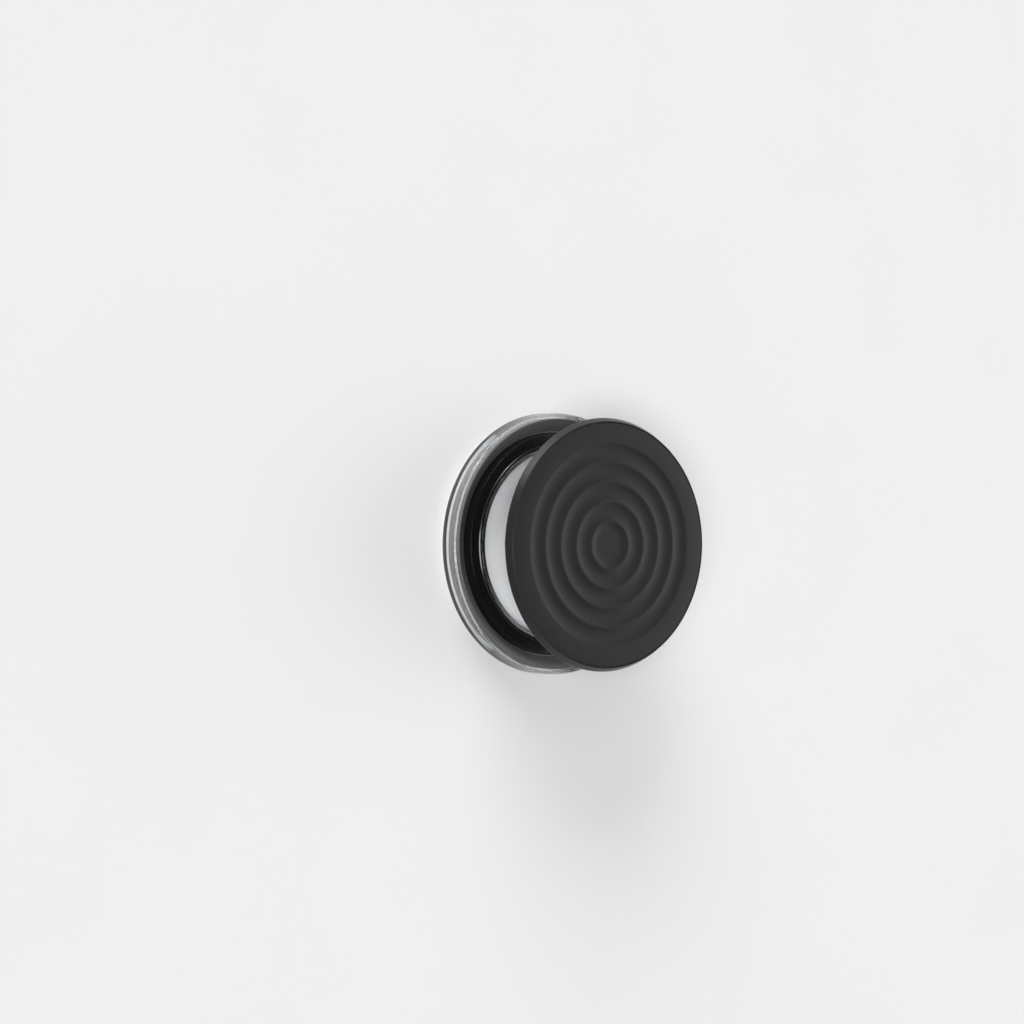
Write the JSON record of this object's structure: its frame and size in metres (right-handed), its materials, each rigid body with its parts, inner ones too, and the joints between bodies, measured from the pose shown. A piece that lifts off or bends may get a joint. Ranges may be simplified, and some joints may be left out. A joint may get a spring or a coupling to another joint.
{
  "type": "phone grip",
  "caption": "Pop-out finger grip: a clear magnetic base with dark rings, a folding accordion and a round disc with a soft face of concentric ripples.",
  "frame": {"origin": "centre of the mounting face, on the base's underside", "axes": "+Z along the pop-out axis, from the mounting face towards the rippled disc"},
  "size_m": [0.0604, 0.0604, 0.0224],
  "materials": {
    "clear_shell": "clear moulded plastic, polished",
    "seat_plastic": "dark grey satin plastic",
    "collar_gloss": "black gloss plastic",
    "shunt_steel": "plain rolled steel",
    "magnet_plate": "nickel plate",
    "retainer_plastic": "black matte plastic",
    "accordion_rubber": "black flexible moulding, matte",
    "core_plastic": "dark grey semi-gloss plastic",
    "pad_silicone": "dark grey matte silicone"
  },
  "bodies": {
    "base": {"base_shell": "clear_shell", "seat_ring": "seat_plastic", "collar_ring": "collar_gloss", "shunt_ring": "shunt_steel", "foot_retainer": "retainer_plastic", "accordion": "accordion_rubber", "magnet_01": "magnet_plate", "magnet_02": "magnet_plate", "magnet_03": "magnet_plate", "magnet_04": "magnet_plate", "magnet_05": "magnet_plate", "magnet_06": "magnet_plate", "magnet_07": "magnet_plate", "magnet_08": "magnet_plate", "magnet_09": "magnet_plate", "magnet_10": "magnet_plate", "magnet_11": "magnet_plate", "magnet_12": "magnet_plate", "magnet_13": "magnet_plate", "magnet_14": "magnet_plate", "magnet_15": "magnet_plate", "magnet_16": "magnet_plate"},
    "disc": {"disc_core": "core_plastic", "ripple_pad": "pad_silicone"}
  },
  "joints": [
    {"name": "pop", "type": "slide", "parent": "base", "child": "disc", "axis": [0, 0, 1], "range_m": [-0.0158, 0], "deforming": ["accordion"]}
  ]
}
